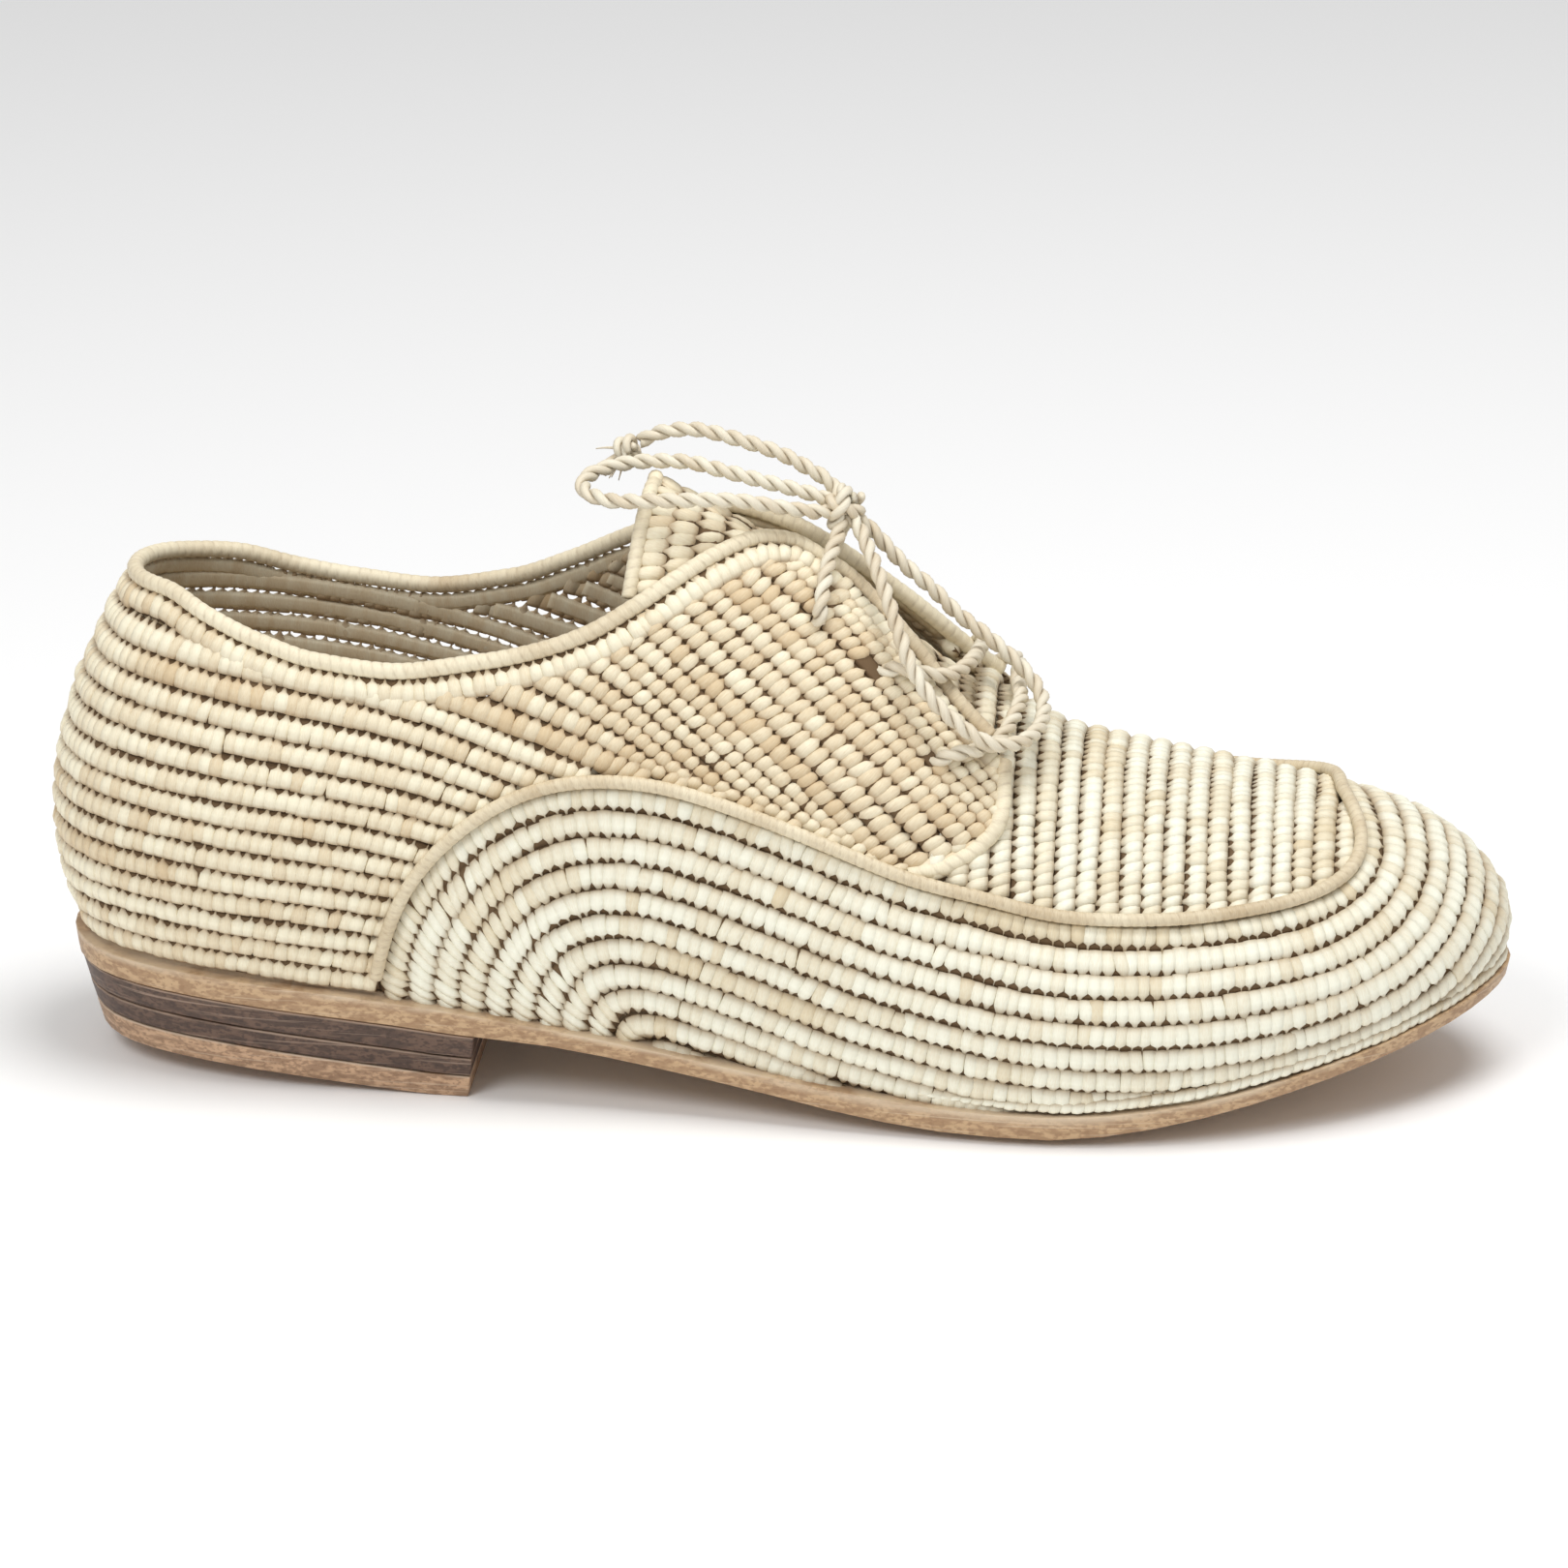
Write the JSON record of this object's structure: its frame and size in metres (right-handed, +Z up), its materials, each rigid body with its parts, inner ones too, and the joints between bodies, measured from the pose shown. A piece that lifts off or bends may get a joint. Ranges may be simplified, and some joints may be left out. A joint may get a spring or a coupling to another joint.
{
  "type": "woven raffia lace-up shoe",
  "caption": "Right lace-up shoe in crocheted raffia with a corded apron seam, raffia bow, thin leather outsole and low stacked heel.",
  "frame": {"origin": "on the floor under the middle of the shoe", "axes": "+X from heel to toe, +Z up, -Y the outer side of the foot"},
  "size_m": [0.266, 0.086, 0.1181],
  "materials": {
    "sole_leather": "waxed edge, satin",
    "heel_leather": "dark stained, satin",
    "top_piece_leather": "waxed, satin",
    "insole_leather": "natural, matt",
    "raffia_weave": "crocheted raffia, matt",
    "raffia_cord": "wrapped raffia cord, satin",
    "raffia_lace": "two-ply twisted raffia, matt"
  },
  "bodies": {
    "root": {"outsole": "sole_leather", "heel_lift_upper": "heel_leather", "heel_lift_lower": "heel_leather", "top_piece": "top_piece_leather", "insole": "insole_leather", "upper": "raffia_weave", "tongue": "raffia_weave", "apron_seam": "raffia_cord", "collar_binding": "raffia_cord", "lace_bar_lower": "raffia_lace", "lace_bar_middle": "raffia_lace", "lace_tie_outer": "raffia_lace", "lace_tie_inner": "raffia_lace", "lace_knot": "raffia_lace", "lace_loop_back": "raffia_lace", "lace_loop_front": "raffia_lace", "lace_end": "raffia_lace", "lace_end_knot": "raffia_lace"}
  },
  "joints": []
}
